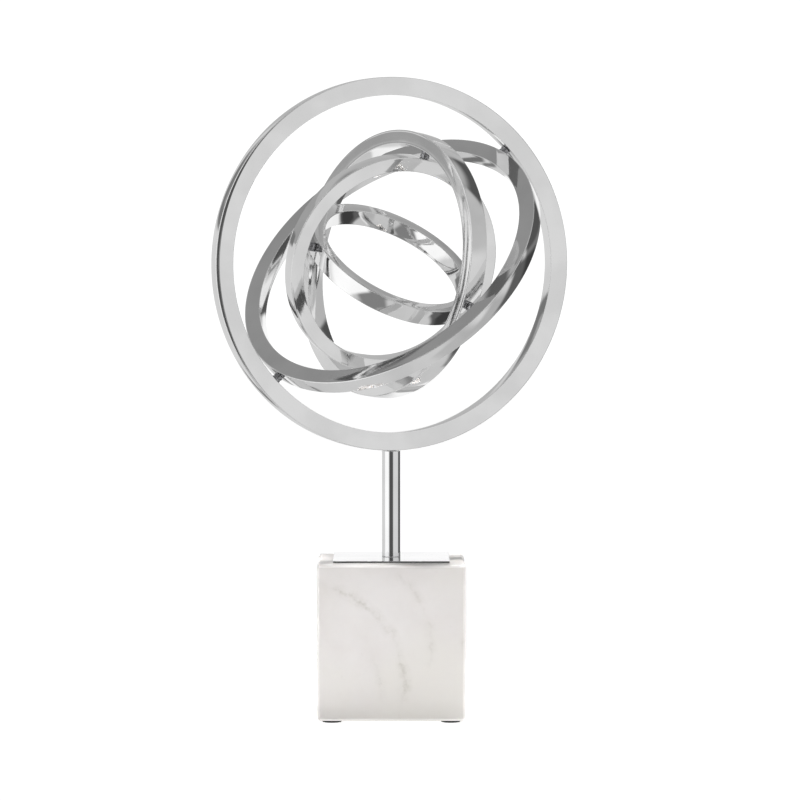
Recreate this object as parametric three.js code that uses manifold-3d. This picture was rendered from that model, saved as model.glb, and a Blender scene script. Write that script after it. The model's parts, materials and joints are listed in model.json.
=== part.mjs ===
// Armillary sphere: five nested gimbal rings on a post, a plate and a marble block.
//
// Millimetres, +Z up. The origin is the middle of the base, on the surface it stands on.
// +X is to the right of someone who faces the front of the block, which looks along -Y.
// Every ring turns about a local frame of its own: Y is the ring's axis, X is the pivot
// that carries it and Z is the pivot that carries the next ring inside it.

import * as THREE from "three";
import { mergeVertices } from "three/addons/utils/BufferGeometryUtils.js";
import Module from "manifold-3d";

const wasm = await Module();
wasm.setup();

// ---------------------------------------------------------------- driving dimensions

const CLEARANCE = 0.3; // air between two pieces that meet
const ROUND_SIDES = 16; // sides of a pin, a collar or a bore
const RING_SIDES = 96; // facets round a ring

const PAD = { radius: 6.5, height: 1.5, inset: 10, sides: 24 };
const BLOCK = { width: 100, height: 105, corner: 1.6, ease: 1.2 };
const PLATE = { width: 79, height: 2, corner: 0.6 };
const POST = { radius: 6.35, height: 72, sides: 40 };

const TIE_ROD = { radius: 4, above: 18 }; // reaches this far up into the post
const TIE_NUT = { acrossFlats: 13, height: 6.5 };
const TIE_WASHER = { radius: 11, height: 1.6, sides: 24 };
const COUNTERBORE = { radius: 14, depth: 13 };
const RING_STUD = { radius: 3, below: 11, above: 8 }; // into the post, into the ring

// From the outside in: outer radius, radial thickness and width along the ring's axis.
const RINGS = [
  { outer: 127, thick: 12.7, width: 11.5 },
  { outer: 110, thick: 11.7, width: 10.4 },
  { outer: 91.4, thick: 10, width: 13.4 },
  { outer: 76.2, thick: 10, width: 11 },
  { outer: 60.2, thick: 8.9, width: 11.9 },
];
const RING_YAW = 20; // degrees that the fixed ring is turned on its post
const FIRST_PIVOT = 43; // degrees that its pivot rises to the right
const NEXT_PIVOT = 90; // degrees between the two pivots of every moving ring
const TILTS = [-66, -36, -78, -70]; // degrees that each moving ring is turned on its pivot

const PIVOT = { pinRadius: 2, collarRadius: 3.2, boreDepth: 6, pinShort: 0.5 };

// ------------------------------------------------------------------ derived dimensions

const BLOCK_BOTTOM = PAD.height;
const BLOCK_TOP = BLOCK_BOTTOM + BLOCK.height;
const PLATE_TOP = BLOCK_TOP + PLATE.height;
const POST_TOP = PLATE_TOP + POST.height;
const RING_CENTRE = POST_TOP + CLEARANCE + RINGS[0].outer;
const COUNTERBORE_TOP = BLOCK_BOTTOM + COUNTERBORE.depth;

const innerRadius = (ring) => ring.outer - ring.thick;
const radians = THREE.MathUtils.degToRad;

// ------------------------------------------------------------------------- materials

function metal(color, roughness) {
  return new THREE.MeshStandardMaterial({ color, roughness, metalness: 1 });
}

const polished = () => metal(0xc9cacc, 0.1);
const plated = () => metal(0xb4b6b9, 0.25);
const darkPlated = () => metal(0x7d7f83, 0.3);
const marble = () => new THREE.MeshStandardMaterial({ color: 0xe4dfdc, roughness: 0.35 });
const rubber = () => new THREE.MeshStandardMaterial({ color: 0x2c2a2b, roughness: 0.8 });

// --------------------------------------------------------------------- solid helpers

/** A closed geometry as a manifold solid, with its shared corners merged. */
function asSolid(geometry) {
  const bare = geometry.clone();
  bare.deleteAttribute("normal");
  bare.deleteAttribute("uv");
  const merged = mergeVertices(bare, 1e-4);
  return new wasm.Manifold(
    new wasm.Mesh({
      numProp: 3,
      vertProperties: new Float32Array(merged.attributes.position.array),
      triVerts: new Uint32Array(merged.index.array),
    }),
  );
}

/** A manifold solid as a flat-shaded geometry. */
function asGeometry(solid) {
  const mesh = solid.getMesh();
  const indexed = new THREE.BufferGeometry();
  indexed.setAttribute("position", new THREE.BufferAttribute(mesh.vertProperties, 3));
  indexed.setIndex(new THREE.BufferAttribute(mesh.triVerts, 1));
  const geometry = indexed.toNonIndexed();
  geometry.computeVertexNormals();
  return geometry;
}

/** The first geometry with all the others cut away from it. */
function cut(body, tools) {
  const carved = tools.reduce((solid, tool) => solid.subtract(asSolid(tool)), asSolid(body));
  return asGeometry(carved);
}

/** A round bar along Z between two heights. */
function barZ(radius, bottom, top, sides = ROUND_SIDES) {
  const bar = new THREE.CylinderGeometry(radius, radius, top - bottom, sides);
  bar.rotateX(Math.PI / 2);
  bar.translate(0, 0, (bottom + top) / 2);
  return bar;
}

/** A round bar along +X between two distances from the origin, then turned about Y. */
function radialBar(radius, near, far, turn) {
  const bar = new THREE.CylinderGeometry(radius, radius, far - near, ROUND_SIDES);
  bar.rotateZ(-Math.PI / 2);
  bar.translate((near + far) / 2, 0, 0);
  bar.rotateY(turn);
  return bar;
}

/** A square outline with rounded corners, centred on the origin. */
function roundedSquare(width, corner) {
  const reach = width / 2 - corner;
  const outline = new THREE.Shape();
  for (let quarter = 0; quarter < 4; quarter += 1) {
    const start = (quarter * Math.PI) / 2;
    const x = reach * Math.SQRT2 * Math.cos(start + Math.PI / 4);
    const y = reach * Math.SQRT2 * Math.sin(start + Math.PI / 4);
    outline.absarc(x, y, corner, start, start + Math.PI / 2, false);
  }
  return outline;
}

function namedMesh(name, geometry, material) {
  const mesh = new THREE.Mesh(geometry, material);
  mesh.name = name;
  return mesh;
}

// ------------------------------------------------------------------------------ base

function footPads() {
  const reach = BLOCK.width / 2 - PAD.inset;
  const places = [[-reach, -reach], [reach, -reach], [reach, reach], [-reach, reach]];
  return places.map(([x, y], index) => {
    const pad = namedMesh(`foot_pad_${index + 1}`, barZ(PAD.radius, 0, PAD.height, PAD.sides), rubber());
    pad.position.set(x, y, 0);
    return pad;
  });
}

/** The block: eased edges, a bore for the tie rod and a counterbore for its nut. */
function marbleBlock() {
  const body = new THREE.ExtrudeGeometry(roundedSquare(BLOCK.width - 2 * BLOCK.ease, BLOCK.corner), {
    depth: BLOCK.height - 2 * BLOCK.ease,
    curveSegments: 4,
    bevelThickness: BLOCK.ease,
    bevelSize: BLOCK.ease,
    bevelSegments: 2,
  });
  body.translate(0, 0, BLOCK_BOTTOM + BLOCK.ease);
  const bore = barZ(TIE_ROD.radius + CLEARANCE, 0, BLOCK_TOP + 1);
  const counterbore = barZ(COUNTERBORE.radius, 0, COUNTERBORE_TOP, PAD.sides);
  return namedMesh("marble_block", cut(body, [bore, counterbore]), marble());
}

function topPlate() {
  const sheet = new THREE.ExtrudeGeometry(roundedSquare(PLATE.width, PLATE.corner), {
    depth: PLATE.height,
    curveSegments: 3,
    bevelEnabled: false,
  });
  sheet.translate(0, 0, BLOCK_TOP);
  const bore = barZ(TIE_ROD.radius + CLEARANCE, BLOCK_TOP - 1, PLATE_TOP + 1);
  return namedMesh("top_plate", cut(sheet, [bore]), polished());
}

/** The washer, the nut and the threaded rod that clamp the block, the plate and the post. */
function tieParts() {
  const bore = barZ(TIE_ROD.radius + CLEARANCE, 0, BLOCK_TOP);
  const washerBottom = COUNTERBORE_TOP - TIE_WASHER.height;
  const washer = barZ(TIE_WASHER.radius, washerBottom, COUNTERBORE_TOP, TIE_WASHER.sides);
  const nutBottom = washerBottom - TIE_NUT.height;
  const hexRadius = TIE_NUT.acrossFlats / Math.sqrt(3);
  const nut = barZ(hexRadius, nutBottom, washerBottom, 6);
  const rod = barZ(TIE_ROD.radius, nutBottom - 1, PLATE_TOP + TIE_ROD.above);
  return [
    namedMesh("tie_washer", cut(washer, [bore]), plated()),
    namedMesh("tie_nut", cut(nut, [bore]), plated()),
    namedMesh("tie_rod", rod, plated()),
  ];
}

/** The post, bored at its foot for the tie rod and at its head for the ring stud. */
function post() {
  const body = barZ(POST.radius, PLATE_TOP, POST_TOP, POST.sides);
  const rodTop = PLATE_TOP + TIE_ROD.above + 1;
  const foot = barZ(TIE_ROD.radius + CLEARANCE, PLATE_TOP - 1, rodTop);
  const studBottom = POST_TOP - RING_STUD.below - 1;
  const head = barZ(RING_STUD.radius + CLEARANCE, studBottom, POST_TOP + 1);
  return namedMesh("post", cut(body, [foot, head]), polished());
}

function ringStud() {
  const top = POST_TOP + CLEARANCE + RING_STUD.above;
  return namedMesh("ring_stud", barZ(RING_STUD.radius, POST_TOP - RING_STUD.below, top), plated());
}

// ----------------------------------------------------------------------------- rings

/** A plain square-section ring about Y. */
function ringBlank(ring) {
  const inner = innerRadius(ring);
  const half = ring.width / 2;
  const profile = [[inner, -half], [ring.outer, -half], [ring.outer, half], [inner, half]];
  const closed = [...profile, profile[0]].map(([x, y]) => new THREE.Vector2(x, y));
  return new THREE.LatheGeometry(closed, RING_SIDES);
}

/** Both bores, on opposite sides, that open on the ring's inner face. */
function innerBores(ring, turn) {
  const near = innerRadius(ring) - 1;
  const far = innerRadius(ring) + PIVOT.boreDepth;
  return [turn, turn + Math.PI].map((side) => radialBar(PIVOT.pinRadius + CLEARANCE, near, far, side));
}

/** Both bores, on opposite sides, that open on the ring's outer face. */
function outerBores(ring) {
  const near = ring.outer - PIVOT.boreDepth;
  const far = ring.outer + 1;
  return [0, Math.PI].map((side) => radialBar(PIVOT.pinRadius + CLEARANCE, near, far, side));
}

/** The bore under the fixed ring that takes the ring stud. */
function studBore(ring) {
  const depth = RING_STUD.above + CLEARANCE;
  return radialBar(RING_STUD.radius + CLEARANCE, ring.outer - depth, ring.outer + 1, Math.PI / 2);
}

function ringMesh(index, pivotTurn) {
  const ring = RINGS[index];
  const isFixed = index === 0;
  const isInnermost = index === RINGS.length - 1;
  const bores = [
    ...(isFixed ? [studBore(ring)] : outerBores(ring)),
    ...(isInnermost ? [] : innerBores(ring, pivotTurn)),
  ];
  return namedMesh(`ring_${index + 1}`, cut(ringBlank(ring), bores), polished());
}

/** A pin and its spacing collar on each side of the pivot between two rings, along X. */
function pivotParts(index) {
  const outside = innerRadius(RINGS[index]);
  const inside = RINGS[index + 1].outer;
  const pinReach = PIVOT.boreDepth - PIVOT.pinShort;
  const parts = [];
  [["a", 0], ["b", Math.PI]].forEach(([side, turn]) => {
    const pin = radialBar(PIVOT.pinRadius, inside - pinReach, outside + pinReach, turn);
    const blank = radialBar(PIVOT.collarRadius, inside + CLEARANCE, outside - CLEARANCE, turn);
    const bore = radialBar(PIVOT.pinRadius + CLEARANCE, inside - 1, outside + 1, turn);
    parts.push(namedMesh(`pivot_${index + 1}_pin_${side}`, pin, plated()));
    parts.push(namedMesh(`pivot_${index + 1}_collar_${side}`, cut(blank, [bore]), darkPlated()));
  });
  return parts;
}

/** Every ring with its pivots, each hung on the pivot of the ring outside it. */
function ringNest() {
  const nest = new THREE.Group();
  nest.position.z = RING_CENTRE;
  nest.rotation.z = radians(RING_YAW);
  let frame = nest;
  RINGS.forEach((ring, index) => {
    const pivotTurn = -radians(index === 0 ? FIRST_PIVOT : NEXT_PIVOT);
    frame.add(ringMesh(index, pivotTurn));
    if (index === RINGS.length - 1) {
      return;
    }
    const pivot = new THREE.Group();
    pivot.rotation.y = pivotTurn;
    pivot.add(...pivotParts(index));
    frame.add(pivot);
    const carried = new THREE.Group();
    carried.rotation.x = radians(TILTS[index]);
    pivot.add(carried);
    frame = carried;
  });
  return nest;
}

// -------------------------------------------------------------------------- assembly

const armillary = new THREE.Group();
armillary.add(...footPads(), marbleBlock(), topPlate(), ...tieParts(), post(), ringStud(), ringNest());

export default armillary;
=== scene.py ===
import json
import math

import bmesh
import bpy
import numpy as np
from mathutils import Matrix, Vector, noise


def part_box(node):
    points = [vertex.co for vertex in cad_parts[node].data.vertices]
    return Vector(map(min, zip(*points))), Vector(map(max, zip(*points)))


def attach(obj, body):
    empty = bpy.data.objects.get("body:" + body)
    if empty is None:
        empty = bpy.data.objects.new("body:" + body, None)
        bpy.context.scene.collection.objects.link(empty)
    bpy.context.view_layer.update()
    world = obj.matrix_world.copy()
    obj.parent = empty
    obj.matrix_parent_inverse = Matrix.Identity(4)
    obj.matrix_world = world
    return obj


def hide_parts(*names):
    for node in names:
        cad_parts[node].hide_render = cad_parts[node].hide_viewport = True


# Armillary sphere: five polished rings on a chrome post, a chrome plate and a marble block.
# Metres, +Z up. The front of the block faces -Y, where the camera stands.

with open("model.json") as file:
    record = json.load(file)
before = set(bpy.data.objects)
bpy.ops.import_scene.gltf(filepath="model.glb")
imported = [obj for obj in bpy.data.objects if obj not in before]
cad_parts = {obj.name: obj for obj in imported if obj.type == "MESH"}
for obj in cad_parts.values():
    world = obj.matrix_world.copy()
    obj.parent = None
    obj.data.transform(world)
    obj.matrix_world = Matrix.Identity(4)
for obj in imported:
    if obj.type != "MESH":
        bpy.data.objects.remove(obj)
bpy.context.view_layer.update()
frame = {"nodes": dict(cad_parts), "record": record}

MM = 0.001
RECORD = frame["record"]
BODY_OF = {node: body for body, nodes in RECORD["behaviour"]["bodies"].items() for node in nodes}
RING_CENTRE = Vector(RECORD["behaviour"]["joints"][0]["pos_m"])
RING_NODES = [f"ring_{number}" for number in range(1, 6)]
PIVOT_SIDES = [f"pivot_{number}_{{}}_{side}" for number in range(1, 5) for side in "ab"]

CAMERA_DISTANCE = 3.2
CAMERA_RISE = 60 * MM  # above the middle of the rings
CAMERA_TILT = 2.73  # degrees below the horizon
CAMERA_TURN = -0.106  # degrees about the vertical
CAMERA_LENS = 211.9  # millimetres

RING_STEPS = 360  # segments round a ring
CORNER_STEPS = 4  # segments round a corner of its bar
EDGE_RADIUS = 0.7 * MM  # roundness of the bar's corners
FOLD_RADIUS = 1.6 * MM  # softness of the fold where a ground flat meets a face
FACE_CROWN = 0.04 * MM  # how far a polished face stands proud at its middle
RIM_CROWN = 0.26 * MM  # and how far a rim does
WAVE_HEIGHT = 0.03 * MM  # unevenness left by hand polishing
WAVE_LOBES = (3, 5, 8, 13, 21)  # how many times each part of it comes round a ring
GROUND_TILT = math.radians(20)  # slope of the flat ground along the fixed ring's front edge
GROUND_LEFT = 2.9 * MM  # its width at the ring's left
GROUND_ROUND = 0.5 * MM  # and everywhere else
GROUND_FALL = 4  # how quickly it narrows on the way
MARK_STRETCH = 60  # polishing marks per metre along a ring
MARK_FINENESS = 1500  # and across it
MARK_SHIFT = 50  # keeps one ring's marks from repeating the next one's

ROUND_STEPS = 96  # segments round a turned piece
END_STEPS = 4  # segments over its eased end
SEAT_GAP = 0.12 * MM  # between the post and the fixed ring
POST_EASE = 0.4 * MM
COLLAR_EASE = 0.3 * MM
COLLAR_GROOVE = 0.45 * MM
PAD_EASE = 0.45 * MM
PLATE_EASE = 0.35 * MM
BLOCK_EASE = 1.8 * MM
BLOCK_CHIP = 0.12 * MM  # roughness of the stone's edges
PLATE_STEPS = 12  # segments along a side
BLOCK_STEPS = 30
WASHER_ROOM = 3 * MM  # between the washer and the counterbore round it
ROD_ROOM = 0.3 * MM  # between the rod and its bore
CUT_OVERRUN = 1 * MM  # how far a cutting tool passes the stone's faces


# ------------------------------------------------------------------------------ camera

def add_camera():
    data = bpy.data.cameras.new("camera")
    data.sensor_width = 36.0
    data.lens = CAMERA_LENS
    data.clip_start = 0.1
    data.clip_end = 100.0
    camera = bpy.data.objects.new("camera", data)
    camera.location = (0.0, -CAMERA_DISTANCE, RING_CENTRE.z + CAMERA_RISE)
    camera.rotation_euler = (math.radians(90 - CAMERA_TILT), 0.0, math.radians(CAMERA_TURN))
    bpy.context.scene.collection.objects.link(camera)
    bpy.context.scene.camera = camera


# ------------------------------------------------------------------------ node helpers

class Nodes:
    """Short ways to add and join the nodes of one tree."""

    def __init__(self, tree):
        self.tree = tree
        tree.nodes.clear()

    def add(self, kind, **settings):
        node = self.tree.nodes.new(kind)
        for name, value in settings.items():
            setattr(node, name, value)
        return node

    def put(self, socket, value):
        """Joins a node's output to a socket, or sets the socket to a constant."""
        if isinstance(value, bpy.types.NodeSocket):
            self.tree.links.new(value, socket)
        else:
            socket.default_value = value

    def math(self, operation, *values):
        node = self.add("ShaderNodeMath", operation=operation)
        for socket, value in zip(node.inputs, values):
            self.put(socket, value)
        return node.outputs[0]

    def times(self, first, second):
        return self.math("MULTIPLY", first, second)

    def blend(self, factor, low, high):
        """low where factor is 0 and high where it is 1."""
        node = self.add("ShaderNodeMix", data_type="FLOAT")
        self.put(node.inputs[0], factor)
        self.put(node.inputs[2], low)
        self.put(node.inputs[3], high)
        return node.outputs[0]

    def blend_colour(self, factor, low, high):
        node = self.add("ShaderNodeMix", data_type="RGBA")
        self.put(node.inputs[0], factor)
        self.put(node.inputs[6], low)
        self.put(node.inputs[7], high)
        return node.outputs[2]

    def ramp(self, value, start, end, low=0.0, high=1.0):
        """value's way from start to end, eased, as low to high."""
        node = self.add("ShaderNodeMapRange", interpolation_type="SMOOTHSTEP")
        for socket, number in zip(node.inputs, (value, start, end, low, high)):
            self.put(socket, number)
        return node.outputs[0]

    def noise(self, vector, scale, detail=2.0, roughness=0.5, distortion=0.0):
        node = self.add("ShaderNodeTexNoise", normalize=True)
        self.put(node.inputs["Vector"], vector)
        self.put(node.inputs["Scale"], scale)
        self.put(node.inputs["Detail"], detail)
        self.put(node.inputs["Roughness"], roughness)
        self.put(node.inputs["Distortion"], distortion)
        return node.outputs["Fac"]

    def stretch(self, vector, scale):
        node = self.add("ShaderNodeVectorMath", operation="MULTIPLY")
        self.put(node.inputs[0], vector)
        self.put(node.inputs[1], scale)
        return node.outputs[0]

    def split(self, vector):
        node = self.add("ShaderNodeSeparateXYZ")
        self.put(node.inputs[0], vector)
        return node.outputs

    def attribute(self, name, output="Fac"):
        return self.add("ShaderNodeAttribute", attribute_name=name).outputs[output]

    def place(self):
        """The point's place in the object's own frame, in metres."""
        return self.add("ShaderNodeTexCoord").outputs["Object"]

    def bump(self, height, distance, under=None):
        """A normal bumped by height, on top of the bump under it if there is one."""
        node = self.add("ShaderNodeBump")
        self.put(node.inputs["Height"], height)
        self.put(node.inputs["Distance"], distance)
        if under is not None:
            self.put(node.inputs["Normal"], under)
        return node.outputs["Normal"]

    def surface(self, **inputs):
        """A Principled surface, with its inputs by name, joined to the output."""
        shader = self.add("ShaderNodeBsdfPrincipled")
        for name, value in inputs.items():
            self.put(shader.inputs[name.replace("_", " ")], value)
        output = self.add("ShaderNodeOutputMaterial")
        self.put(output.inputs["Surface"], shader.outputs[0])


def new_material(name):
    material = bpy.data.materials.new(name)
    material.use_nodes = True
    return material, Nodes(material.node_tree)


# ------------------------------------------------------------------------------ studio

# Soft panels round the object, one over the other. Azimuth is measured from the camera's
# side towards +X and elevation from the horizon, in degrees. Light is linear.
# name: (azimuth, half width, softness), (lowest, highest, softness), light
PANELS = {
    "floor": ((0, 200, 1), (-100, -28, 12), 0.63),
    "floor_front_left": ((-31, 22, 10), (-58, -34, 6), 0.24),
    "floor_right": ((70, 14, 10), (-62, -36, 10), 0.50),
    "ceiling": ((0, 200, 1), (28, 100, 10), 0.48),
    "ceiling_left": ((-118, 34, 16), (46, 80, 8), 0.29),
    "ceiling_front": ((0, 28, 10), (46, 76, 10), 0.14),
    "left_wall": ((-130, 34, 6), (-28, 9.5, 1), 0.71),
    "left_wall_top": ((-122, 30, 6), (9.5, 33, 1), 0.37),
    "left_corner": ((-145, 6, 4), (7, 22, 4), 0.21),
    "left_gap": ((-159, 4, 3), (-27, -16, 4), 0.22),
    "left_gap_foot": ((-149, 5, 4), (-44, -26, 5), 0.18),
    "back_wall_left": ((-171, 10, 4), (-46, 4, 4), 0.68),
    "back_wall_right": ((160, 20, 4), (-46, 12, 4), 1.00),
    "back_wall_top": ((175, 26, 6), (12, 40, 5), 0.50),
    "backdrop": ((180, 9, 3), (-8, 9, 2), 1.0),
    "left_rail": ((-136, 11, 3), (7.5, 13, 2), 0.20),
    "left_softbox_low": ((-58, 27, 12), (-34, 5, 5), 1.10),
    "left_softbox_high": ((-62, 26, 10), (2, 44, 8), 1.05),
    "right_card": ((52, 34, 8), (-32, 40, 8), 0.73),
    "right_card_far": ((82, 26, 14), (8, 48, 10), 0.53),
    "right_card_foot": ((86, 10, 8), (-40, -14, 10), 0.48),
    "right_gap_low": ((115, 22, 6), (-54, 4, 5), 0.12),
    "right_gap_high": ((129, 20, 6), (4, 44, 8), 0.09),
    "right_gap_depth": ((122, 12, 8), (-50, 4, 6), 0.05),
    "camera_gap": ((-1, 23, 14), (-24, 30, 8), 0.09),
}
OPEN_LIGHT = 0.70  # where there is no panel
BACKGROUND_LIGHT = 1.1  # what is seen past the object
FLOOR_REACH = 6.0  # from its middle to each side
FLOOR_GLOW = 0.62  # keeps the floor as pale as the background

# Large soft lamps for the stone and the floor. The metal sees the panels instead.
# name: place, aim, size, power in watts, spread in degrees
LAMPS = {
    "front_lamp": ((-1.2, -2.2, 1.9), (0, 0, 0.05), 1.6, 2.6, 180),
    "top_lamp": ((0, 0.12, 1.5), (0, 0, 0.1), 0.3, 1.7, 25),
}


def add_world():
    world = bpy.data.worlds.new("studio")
    world.use_nodes = True
    bpy.context.scene.world = world
    nodes = Nodes(world.node_tree)
    x, y, z = nodes.split(nodes.add("ShaderNodeTexCoord").outputs["Generated"])
    towards_camera = nodes.times(y, -1.0)
    azimuth = nodes.math("DEGREES", nodes.math("ARCTAN2", x, towards_camera))
    elevation = nodes.math("DEGREES", nodes.math("ARCSINE", z))
    light = OPEN_LIGHT
    for (middle, half, softness), (lowest, highest, rim), brightness in PANELS.values():
        offset = nodes.math("WRAP", nodes.math("SUBTRACT", azimuth, float(middle)), 180.0, -180.0)
        across = nodes.ramp(nodes.math("ABSOLUTE", offset), half + softness / 2, half - softness / 2)
        above = nodes.ramp(elevation, lowest - rim / 2, lowest + rim / 2)
        below = nodes.ramp(elevation, highest + rim / 2, highest - rim / 2)
        inside = nodes.times(across, nodes.times(above, below))
        light = nodes.blend(inside, light, brightness)
    seen = nodes.add("ShaderNodeLightPath").outputs["Is Camera Ray"]
    background = nodes.add("ShaderNodeBackground")
    nodes.put(background.inputs["Color"], (1.0, 1.0, 1.0, 1.0))
    nodes.put(background.inputs["Strength"], nodes.blend(seen, light, BACKGROUND_LIGHT))
    output = nodes.add("ShaderNodeOutputWorld")
    nodes.put(output.inputs["Surface"], background.outputs[0])


def add_floor():
    """A pale sweep that reads as white, with only a trace of shade under the block."""
    mesh = bpy.data.meshes.new("floor")
    shape = bmesh.new()
    bmesh.ops.create_grid(shape, x_segments=8, y_segments=8, size=FLOOR_REACH)
    shape.to_mesh(mesh)
    shape.free()
    floor = bpy.data.objects.new("floor", mesh)
    bpy.context.scene.collection.objects.link(floor)
    floor.visible_glossy = False
    material, nodes = new_material("floor_paper")
    grain = nodes.noise(nodes.place(), scale=40.0, detail=3.0)
    shade = nodes.blend(grain, 0.86, 0.90)
    nodes.surface(
        Base_Color=nodes.blend_colour(shade, (0, 0, 0, 1), (1, 1, 1, 1)),
        Roughness=0.9,
        Specular_IOR_Level=0.0,
        Emission_Color=(1.0, 1.0, 1.0, 1.0),
        Emission_Strength=FLOOR_GLOW,
    )
    mesh.materials.append(material)


def add_lights():
    for name, (place, aim, size, power, spread) in LAMPS.items():
        data = bpy.data.lights.new(name, "AREA")
        data.shape = "SQUARE"
        data.size = size
        data.energy = power
        data.spread = math.radians(spread)
        lamp = bpy.data.objects.new(name, data)
        lamp.location = place
        lamp.rotation_euler = (Vector(aim) - Vector(place)).to_track_quat("-Z", "Y").to_euler()
        lamp.visible_glossy = False
        lamp.visible_camera = False
        bpy.context.scene.collection.objects.link(lamp)


# --------------------------------------------------------------------------- materials

TURNED_MARKS = (60.0, 60.0, 900.0)  # polishing marks per metre on a turned piece
LATHE_MARKS = (400.0, 400.0, 1600.0)  # coarser ones on the small steel pieces
MARK_DEPTH = 0.0008 * MM
RIPPLE_DEPTH = 0.06 * MM
WORN_METAL = (0.97, 0.97, 0.97, 1.0)

STONE_LOW = (0.63, 0.604, 0.588, 1)
STONE_HIGH = (0.675, 0.654, 0.642, 1)
STONE_WARM = (0.642, 0.622, 0.592, 1)
STONE_VEIN = (0.385, 0.366, 0.322, 1)
STONE_WORN = (0.90, 0.885, 0.87, 1)

RUBBER_CLEAN = (0.020, 0.018, 0.018, 1)
RUBBER_DUSTY = (0.060, 0.055, 0.052, 1)


def polished_metal(name, tint, along):
    """Mirror polish with faint polishing marks, softer and lighter along worn edges.

    along names the attribute that the marks follow. It is None for marks round a turned piece.
    """
    material, nodes = new_material(name)
    place = nodes.place()
    if along:
        marks = nodes.attribute(along, "Vector")
    else:
        marks = nodes.stretch(place, TURNED_MARKS)
    fine = nodes.noise(marks, scale=1.0, detail=4.0, roughness=0.6)
    cloud = nodes.noise(place, scale=26.0, detail=3.0)
    smear = nodes.noise(place, scale=110.0, detail=2.0, distortion=0.6)
    ripple = nodes.noise(place, scale=45.0, detail=1.0)
    worn = nodes.times(nodes.attribute("edge"), nodes.ramp(smear, 0.25, 0.6, 0.45, 1.0))
    bright = tuple(min(1.0, part * 1.02) for part in tint) + (1.0,)
    dull = tuple(part * 0.93 for part in tint) + (1.0,)
    tone = nodes.blend_colour(nodes.ramp(cloud, 0.35, 0.65), dull, bright)
    polish = nodes.blend(nodes.ramp(fine, 0.35, 0.75), 0.035, 0.085)
    nodes.surface(
        Base_Color=nodes.blend_colour(nodes.times(worn, 0.7), tone, WORN_METAL),
        Metallic=1.0,
        Roughness=nodes.math("ADD", polish, nodes.times(worn, 0.22)),
        Normal=nodes.bump(ripple, RIPPLE_DEPTH, under=nodes.bump(fine, MARK_DEPTH)),
    )
    return material


def plated_steel(name, low, high, gloss):
    """Darker turned steel: fine rings, small stains and a satin sheen."""
    material, nodes = new_material(name)
    place = nodes.place()
    turned = nodes.noise(nodes.stretch(place, LATHE_MARKS), scale=1.0, detail=3.0)
    stain = nodes.noise(place, scale=240.0, detail=4.0, roughness=0.6)
    nodes.surface(
        Base_Color=nodes.blend_colour(nodes.ramp(stain, 0.3, 0.7), low, high),
        Metallic=1.0,
        Roughness=nodes.blend(turned, gloss * 0.8, gloss * 1.3),
        Normal=nodes.bump(turned, 0.01 * MM),
    )
    return material


# Veins in the stone: each is a bent sheet, part of a wide cylinder that runs back through
# the block and drifts sideways. In millimetres from the middle of the block's foot.
# (centre across, centre up, radius), sideways drift per depth, (lowest, highest), strength
VEINS = [
    ((-60, 25, 69), 0.35, (16, 100), 0.60),
    ((-40, 52, 66), 0.25, (44, 108), 0.38),
    ((-120, 10, 113.5), -0.30, (20, 56), 0.42),
    ((96, 34, 52), 0.20, (50, 92), 0.34),
]
VEIN_WOBBLE = 11 * MM  # how far a vein strays from its cylinder
CORE_WIDTH = 1.9 * MM  # half width of its dark core
HALO_WIDTH = 6.0 * MM  # and of the faint shade round that
HALO_FULL = 0.5 * MM  # within which the shade is deepest
FADE_BELOW = 10  # a vein fades from this many millimetres below each of its ends
FADE_ABOVE = 8  # to this many above it


def vein(nodes, place, shape, drift, span, strength):
    """How much of one vein shows at a place: wispy, broken and uneven in width."""
    across, up, radius = shape
    low, high = span
    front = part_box("marble_block")[0].y
    x, y, z = nodes.split(place)
    depth = nodes.math("SUBTRACT", y, front)
    sideways = nodes.math("SUBTRACT", x, nodes.times(depth, drift))
    dx = nodes.math("SUBTRACT", sideways, across * MM)
    dz = nodes.math("SUBTRACT", z, up * MM)
    squares = nodes.math("ADD", nodes.times(dx, dx), nodes.times(dz, dz))
    stray = nodes.noise(place, scale=70.0, detail=6.0, roughness=0.68)
    wobble = nodes.times(nodes.math("SUBTRACT", stray, 0.5), VEIN_WOBBLE)
    reach = nodes.math("ADD", nodes.math("SQRT", squares), wobble)
    away = nodes.math("ABSOLUTE", nodes.math("SUBTRACT", reach, radius * MM))
    core = nodes.ramp(away, CORE_WIDTH, 0.0, 0.0, 0.55)
    halo = nodes.ramp(away, HALO_WIDTH, HALO_FULL, 0.0, 0.45)
    speck = nodes.noise(place, scale=210.0, detail=5.0, roughness=0.7)
    line = nodes.times(nodes.math("ADD", core, halo), nodes.ramp(speck, 0.38, 0.66, 0.25, 1.0))
    gaps = nodes.noise(place, scale=46.0, detail=4.0, roughness=0.6)
    broken = nodes.times(line, nodes.ramp(gaps, 0.38, 0.62, 0.12, 1.0))
    foot = nodes.ramp(z, (low - FADE_BELOW) * MM, (low + FADE_ABOVE) * MM)
    head = nodes.ramp(z, (high + FADE_ABOVE) * MM, (high - FADE_BELOW) * MM)
    return nodes.times(broken, nodes.times(nodes.times(foot, head), strength))


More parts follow.
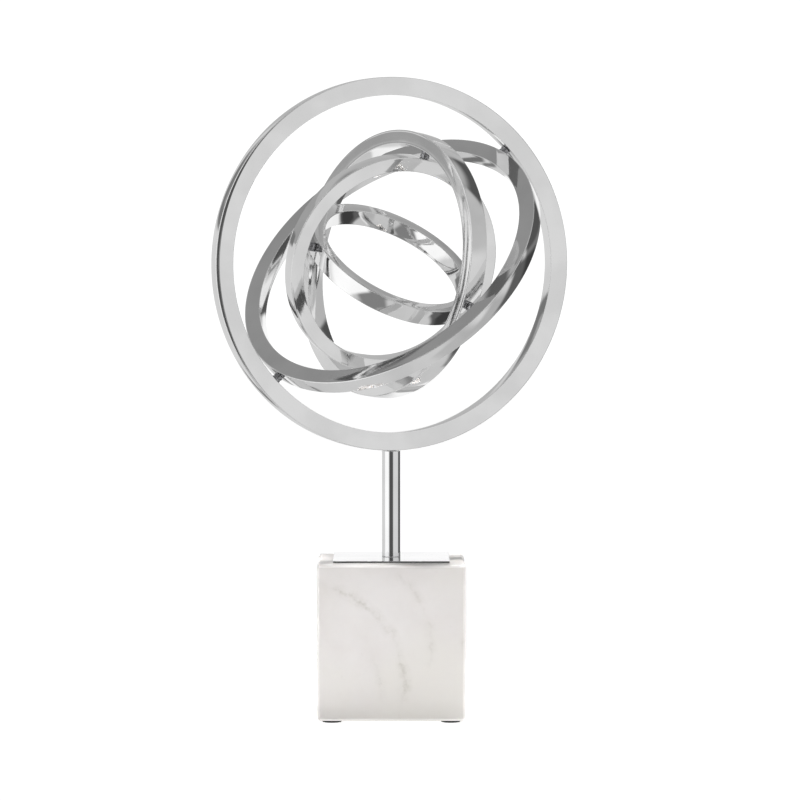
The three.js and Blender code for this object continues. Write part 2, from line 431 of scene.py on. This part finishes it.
def white_marble():
    """Honed white marble: a cloudy warm grey ground and a few soft veins."""
    material, nodes = new_material("white_marble")
    place = nodes.place()
    cloud = nodes.noise(place, scale=24.0, detail=5.0, roughness=0.6)
    drift = nodes.noise(place, scale=11.0, detail=2.0)
    speck = nodes.noise(place, scale=70.0, detail=5.0, roughness=0.65)
    grain = nodes.noise(place, scale=900.0, detail=3.0, roughness=0.7)
    worn = nodes.attribute("edge")
    shown = nodes.ramp(speck, 0.64, 0.76, 0.0, 0.16)
    for shape, lean, span, strength in VEINS:
        shown = nodes.math("MAXIMUM", shown, vein(nodes, place, shape, lean, span, strength))
    tone = nodes.blend_colour(nodes.ramp(cloud, 0.3, 0.7), STONE_LOW, STONE_HIGH)
    tone = nodes.blend_colour(nodes.ramp(drift, 0.4, 0.65), tone, STONE_WARM)
    tone = nodes.blend_colour(shown, tone, STONE_VEIN)
    tone = nodes.blend_colour(nodes.times(worn, 0.45), tone, STONE_WORN)
    polish = nodes.blend(grain, 0.32, 0.46)
    nodes.surface(
        Base_Color=tone,
        Roughness=nodes.math("ADD", polish, nodes.times(worn, 0.12)),
        Subsurface_Weight=0.12,
        Subsurface_Radius=(1.0, 0.9, 0.8),
        Subsurface_Scale=2.0 * MM,
        Normal=nodes.bump(grain, 0.02 * MM),
    )
    return material


def pad_rubber():
    """Dark moulded rubber, matt and a little dusty."""
    material, nodes = new_material("pad_rubber")
    place = nodes.place()
    grain = nodes.noise(place, scale=1500.0, detail=3.0)
    dust = nodes.noise(place, scale=160.0, detail=4.0)
    nodes.surface(
        Base_Color=nodes.blend_colour(nodes.ramp(dust, 0.35, 0.75), RUBBER_CLEAN, RUBBER_DUSTY),
        Roughness=nodes.blend(grain, 0.55, 0.8),
        Normal=nodes.bump(grain, 0.06 * MM),
    )
    return material


# ------------------------------------------------------------------------- mesh helpers

def add_piece(name, mesh, node, material):
    """Puts a finished mesh in place of a CAD node, on that node's body."""
    piece = bpy.data.objects.new(name, mesh)
    bpy.context.scene.collection.objects.link(piece)
    mesh.materials.append(material)
    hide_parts(node)
    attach(piece, BODY_OF[node])


def swept_mesh(name, rows, is_endless, attributes):
    """A quad mesh from rows of points, each row a closed loop.

    An endless sweep joins its last row to the first. Any other is capped at both ends.
    """
    count, width = rows.shape[:2]
    last = count if is_endless else count - 1
    faces = []
    for row in range(last):
        here = row * width
        ahead = (row + 1) % count * width
        for column in range(width):
            beside = (column + 1) % width
            faces.append((here + column, here + beside, ahead + beside, ahead + column))
    if not is_endless:
        faces.append(tuple(reversed(range(width))))
        faces.append(tuple((count - 1) * width + column for column in range(width)))
    mesh = bpy.data.meshes.new(name)
    mesh.from_pydata(rows.reshape(-1, 3).tolist(), [], faces)
    for title, values in attributes.items():
        kind, field = ("FLOAT", "value") if values.ndim == 1 else ("FLOAT_VECTOR", "vector")
        layer = mesh.attributes.new(title, kind, "POINT")
        layer.data.foreach_set(field, values.astype(np.float32).ravel())
    mesh.validate()
    mesh.shade_smooth()
    return mesh


def corners_of(node):
    """The corners of a CAD node's mesh."""
    return np.array([vertex.co for vertex in frame["nodes"][node].data.vertices])


def spokes_round(axis, count):
    """Unit vectors all round an axis, and the angle of each."""
    first = axis.orthogonal().normalized()
    second = axis.cross(first)
    angles = np.arange(count) * 2 * math.pi / count
    return np.outer(np.cos(angles), first) + np.outer(np.sin(angles), second), angles


# ------------------------------------------------------------------------------- rings

def measure_ring(node):
    """Axis, outer and inner radius and half width of a CAD ring about the common centre."""
    corners = corners_of(node) - np.array(RING_CENTRE)
    reach = np.linalg.norm(corners, axis=1)
    rim = corners[reach > reach.max() - 0.02 * MM]
    axis = np.linalg.svd(rim, full_matrices=False)[2][2]
    axis *= -np.sign(axis[1])  # the front of a ring faces the front of the block
    along = corners @ axis
    radial = np.linalg.norm(corners - np.outer(along, axis), axis=1)
    return axis, radial.max(), radial.min(), np.abs(along).max()


def bar_corners(thick, width, ground):
    """Corners of a ring's bar (outward, along the axis), counter-clockwise from the outer back.

    The front outer corner is cut by a flat that is ground wide.
    """
    out, up = thick / 2, width / 2
    drop = ground * math.tan(GROUND_TILT)
    corners = [(out, -up), (out, up - drop), (out - ground, up), (-out, up), (-out, -up)]
    radii = [EDGE_RADIUS, EDGE_RADIUS, FOLD_RADIUS, EDGE_RADIUS, EDGE_RADIUS]
    return np.array(corners), radii


def bar_outline(corners, radii):
    """The bar's outline with rounded corners and crowned faces.

    Returns its points, their outward normals, how near each is to an edge, and its face.
    """
    shares = (0.05, 0.14, 0.24, 0.34, 0.45, 0.55, 0.66, 0.76, 0.86, 0.95)
    crowns = (RIM_CROWN, 0.0, FACE_CROWN, RIM_CROWN, FACE_CROWN)
    ways = np.roll(corners, -1, axis=0) - corners
    lengths = np.linalg.norm(ways, axis=1)
    ways /= lengths[:, None]
    normals = np.stack([ways[:, 1], -ways[:, 0]], axis=1)
    count = len(corners)
    bends = [ways[index - 1] @ ways[index] for index in range(count)]
    turns = [math.acos(float(np.clip(bend, -1, 1))) for bend in bends]
    longest = 0.4 * lengths.min()  # so that two corners never meet
    setbacks = [min(radius * math.tan(turn / 2), longest) for radius, turn in zip(radii, turns)]
    points, outward, edges, faces = [], [], [], []
    for index in range(count):
        radius = setbacks[index] / math.tan(turns[index] / 2)
        start = corners[index] - ways[index - 1] * setbacks[index]
        centre = start - normals[index - 1] * radius
        is_fold = turns[index] < math.pi / 4
        for step in range(CORNER_STEPS + 1):
            turn = step / CORNER_STEPS * turns[index]
            normal = normals[index - 1] * math.cos(turn) + ways[index - 1] * math.sin(turn)
            points.append(centre + normal * radius)
            outward.append(normal)
            edges.append(0.0 if is_fold else 1.0)
            faces.append(-1)
        after = (index + 1) % count
        flat = lengths[index] - setbacks[index] - setbacks[after]
        begin = corners[index] + ways[index] * setbacks[index]
        for share in shares:
            crown = crowns[index] * (1 - (2 * share - 1) ** 2)
            points.append(begin + ways[index] * share * flat + normals[index] * crown)
            outward.append(normals[index])
            edges.append(0.0)
            faces.append(index)
    return np.array(points), np.array(outward), np.array(edges), np.array(faces)


def polish_wave(angles, face, seed):
    """Slow unevenness round one face of a ring, from -1 to 1, the same every run."""
    random = np.random.default_rng(100 * seed + face)
    wave = np.zeros_like(angles)
    for lobes in WAVE_LOBES:
        wave += np.sin(lobes * angles + random.uniform(0, 2 * math.pi)) / lobes ** 0.8
    return wave / np.abs(wave).max()


def ring_mesh(node, number):
    axis, outer, inner, half_width = measure_ring(node)
    normal = Vector(axis)
    middle = (outer + inner) / 2
    # The bar under the crowns is a crown smaller on every side.
    thick = outer - inner - 2 * RIM_CROWN
    width = 2 * half_width - 2 * FACE_CROWN
    spokes, angles = spokes_round(normal, RING_STEPS)
    waves = [polish_wave(angles, face, number) for face in range(5)]
    rows, edges, marks = [], [], []
    for step, spoke in enumerate(spokes):
        leftness = max(0.0, -spoke[0]) ** GROUND_FALL if number == 1 else 0.0
        ground = GROUND_ROUND + (GROUND_LEFT - GROUND_ROUND) * leftness
        points, outward, near_edge, faces = bar_outline(*bar_corners(thick, width, ground))
        for face, wave in enumerate(waves):
            lift = WAVE_HEIGHT * (wave[step] - 1)
            points[faces == face] += outward[faces == face] * lift
        radial = middle + points[:, 0]
        rows.append(np.array(RING_CENTRE) + np.outer(radial, spoke) + np.outer(points[:, 1], normal))
        edges.append(near_edge)
        walk = np.arange(len(points)) / len(points) * 2 * (thick + width)
        mark = np.empty((len(points), 3))
        mark[:, 0] = middle * math.cos(angles[step]) * MARK_STRETCH
        mark[:, 1] = middle * math.sin(angles[step]) * MARK_STRETCH
        mark[:, 2] = walk * MARK_FINENESS + MARK_SHIFT * number
        marks.append(mark)
    attributes = {"edge": np.concatenate(edges), "polish": np.concatenate(marks)}
    return swept_mesh(node, np.array(rows), True, attributes)


def add_rings(material):
    for number, node in enumerate(RING_NODES, start=1):
        add_piece(f"{node}_polished", ring_mesh(node, number), node, material)


# ----------------------------------------------------------------------- turned pieces

# Half a groove, from its lip to its floor, in groove depths: (half width, depth), edge
GROOVE = [((1.6, 0.0), 0.0), ((1.2, 0.1), 1.0), ((0.5, 1.0), 0.3)]


def turned_mesh(name, profile, start, direction):
    """A solid of revolution. profile is (distance along the axis, radius, edge)."""
    axis = Vector(direction).normalized()
    spokes, _ = spokes_round(axis, ROUND_STEPS)
    rows, edges = [], []
    for along, radius, edge in profile:
        middle = np.array(start) + np.array(axis) * along
        rows.append(middle + spokes * radius)
        edges.append(np.full(ROUND_STEPS, edge))
    return swept_mesh(name, np.array(rows), False, {"edge": np.concatenate(edges)})


def eased_profile(length, radius, ease, groove=0.0):
    """The side of a round bar with both ends eased, and a groove round its middle if asked."""
    near = [(0.0, radius - 2 * ease, 0.4)]
    for step in reversed(range(END_STEPS + 1)):
        angle = step / END_STEPS * math.pi / 2
        near.append((ease * (1 - math.sin(angle)), radius - ease * (1 - math.cos(angle)), 1.0))
    near.append((2 * ease, radius, 0.0))
    if groove:
        for (half_width, depth), edge in GROOVE:
            near.append((length / 2 - half_width * groove, radius - depth * groove, edge))
    return near + [(length - along, out, edge) for along, out, edge in reversed(near)]


def standing_mesh(name, low, high, ease):
    """An upright round bar with eased ends that fills a box."""
    radius = (high.x - low.x) / 2
    start = ((low.x + high.x) / 2, (low.y + high.y) / 2, low.z)
    return turned_mesh(name, eased_profile(high.z - low.z, radius, ease), start, (0, 0, 1))


def seat_on_ring(mesh, top):
    """Hollows the post's top to follow the fixed ring's rim, just clear of it."""
    axis, outer, _, _ = measure_ring("ring_1")
    along_rim = Vector((-axis[1], axis[0], 0)).normalized()
    for vertex in mesh.vertices:
        if vertex.co.z > top - MM:
            offset = (vertex.co - RING_CENTRE) @ along_rim
            rim = RING_CENTRE.z - math.sqrt(outer ** 2 - offset ** 2)
            vertex.co.z += rim - SEAT_GAP - top


def add_post(material):
    low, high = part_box("post")
    mesh = standing_mesh("post", low, high, POST_EASE)
    seat_on_ring(mesh, high.z)
    add_piece("post_chromed", mesh, "post", material)


def add_collars(material):
    """Spacing collars between neighbouring rings, each along its own pivot."""
    for pattern in PIVOT_SIDES:
        node = pattern.format("collar")
        corners = corners_of(node)
        middle = corners.mean(axis=0)
        axis = Vector(middle - np.array(RING_CENTRE)).normalized()
        along = (corners - middle) @ np.array(axis)
        away = corners - middle - np.outer(along, np.array(axis))
        radius = np.linalg.norm(away, axis=1).max()
        profile = eased_profile(along.max() - along.min(), radius, COLLAR_EASE, COLLAR_GROOVE)
        mesh = turned_mesh(node, profile, Vector(middle) + axis * along.min(), axis)
        add_piece(f"{node}_turned", mesh, node, material)


def add_pads(material):
    for number in range(1, 5):
        node = f"foot_pad_{number}"
        low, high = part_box(node)
        mesh = standing_mesh(node, low, high, PAD_EASE)
        add_piece(f"{node}_moulded", mesh, node, material)


# ---------------------------------------------------------------------- block and plate

EASE_GRID = (0.0, 0.12, 0.3, 0.5, 0.75, 1.0, 1.4)  # grid lines over an eased edge, in its width
CHIP_FINENESS = 90  # chips per metre of edge


def grid_steps(low, high, ease, inner):
    """Places of grid lines between two faces: close together over the eased edges."""
    near = [ease * share for share in EASE_GRID]
    middle = np.linspace(near[-1], high - low - near[-1], inner + 1)
    return low + np.array(near[:-1] + list(middle) + [high - low - step for step in near[-2::-1]])


def eased_box(name, low, high, ease, inner, chip):
    """A box with round edges, on a grid that is fine near them. chip roughens the edges."""
    steps = [grid_steps(low[axis], high[axis], ease, inner) for axis in range(3)]
    inside_low = np.array(low) + ease
    inside_high = np.array(high) - ease
    shape = bmesh.new()
    layer = shape.verts.layers.float.new("edge")
    found = {}

    def corner(place):
        """The vertex for a grid point, shared between the faces that meet there."""
        key = tuple(round(part / MM, 3) for part in place)
        if key not in found:
            flat = np.array(place)
            core = np.clip(flat, inside_low, inside_high)
            away = flat - core
            outward = away / np.linalg.norm(away)
            rounded = core + outward * ease
            is_on_edge = (np.abs(away) > ease * 0.05).sum() >= 2
            wear = 1.0 if is_on_edge else 0.0
            rough = noise.fractal(Vector(rounded * CHIP_FINENESS), 0.6, 2.0, 4) * chip
            found[key] = shape.verts.new(rounded - outward * (wear * (chip + rough)))
            found[key][layer] = wear
        return found[key]

    for axis in range(3):
        second, third = (axis + 1) % 3, (axis + 2) % 3
        for end, is_high in ((low[axis], False), (high[axis], True)):
            for a in range(len(steps[second]) - 1):
                for b in range(len(steps[third]) - 1):
                    loop = []
                    for i, j in ((a, b), (a + 1, b), (a + 1, b + 1), (a, b + 1)):
                        place = [0.0, 0.0, 0.0]
                        place[axis] = end
                        place[second] = steps[second][i]
                        place[third] = steps[third][j]
                        loop.append(corner(place))
                    shape.faces.new(loop if is_high else loop[::-1])
    mesh = bpy.data.meshes.new(name)
    shape.to_mesh(mesh)
    shape.free()
    mesh.shade_smooth()
    return mesh


def cut_holes(mesh, holes):
    """Cuts upright round holes, given as (radius, bottom, top), out of a mesh."""
    body = bpy.data.objects.new("uncut", mesh)
    bpy.context.scene.collection.objects.link(body)
    tools = []
    for radius, bottom, top in holes:
        profile = [(0.0, radius, 0.0), (top - bottom, radius, 0.0)]
        tool = bpy.data.objects.new("tool", turned_mesh("tool", profile, (0, 0, bottom), (0, 0, 1)))
        bpy.context.scene.collection.objects.link(tool)
        modifier = body.modifiers.new("hole", "BOOLEAN")
        modifier.object = tool
        modifier.operation = "DIFFERENCE"
        modifier.solver = "EXACT"
        tools.append(tool)
    shown = body.evaluated_get(bpy.context.evaluated_depsgraph_get())
    carved = bpy.data.meshes.new_from_object(shown)
    for extra in tools + [body]:
        bpy.data.objects.remove(extra)
    return carved


def add_plate(material):
    low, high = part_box("top_plate")
    mesh = eased_box("top_plate", low, high, PLATE_EASE, PLATE_STEPS, 0.0)
    add_piece("top_plate_polished", mesh, "top_plate", material)


def add_block(material):
    """The stone, with the counterbore for its nut and the bore for the rod underneath."""
    low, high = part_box("marble_block")
    mesh = eased_box("marble_block", low, high, BLOCK_EASE, BLOCK_STEPS, BLOCK_CHIP)
    washer_low, washer_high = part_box("tie_washer")
    rod_low, rod_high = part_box("tie_rod")
    sink = (washer_high.x - washer_low.x) / 2 + WASHER_ROOM
    bore = (rod_high.x - rod_low.x) / 2 + ROD_ROOM
    below = low.z - CUT_OVERRUN
    seat = washer_high.z + 0.05 * MM
    carved = cut_holes(mesh, [(sink, below, seat), (bore, below, high.z + CUT_OVERRUN)])
    carved.shade_smooth()
    carved.set_sharp_from_angle(angle=math.radians(50))  # keeps the holes' rims crisp
    add_piece("marble_block_honed", carved, "marble_block", material)


# -------------------------------------------------------------------- carried-over steel

def finish_hidden_steel(material):
    """The rod, nut, washer, stud and pins keep their CAD shape and get a plated finish."""
    pins = [pattern.format("pin") for pattern in PIVOT_SIDES]
    for node in ["tie_rod", "tie_nut", "tie_washer", "ring_stud"] + pins:
        part = frame["nodes"][node]
        part.data.materials.clear()
        part.data.materials.append(material)


bpy.context.scene.view_settings.view_transform = "Standard"
add_camera()
add_world()
add_floor()
add_lights()
ring_metal = polished_metal("polished_aluminium", (0.90, 0.90, 0.90), "polish")
chrome = polished_metal("polished_chrome", (0.88, 0.88, 0.885), None)
steel = plated_steel("plated_steel", (0.42, 0.42, 0.43, 1), (0.58, 0.58, 0.59, 1), 0.25)
dark_steel = plated_steel("collar_steel", (0.26, 0.26, 0.27, 1), (0.42, 0.42, 0.43, 1), 0.22)
add_rings(ring_metal)
add_post(chrome)
add_plate(chrome)
add_block(white_marble())
add_collars(dark_steel)
add_pads(pad_rubber())
finish_hidden_steel(steel)
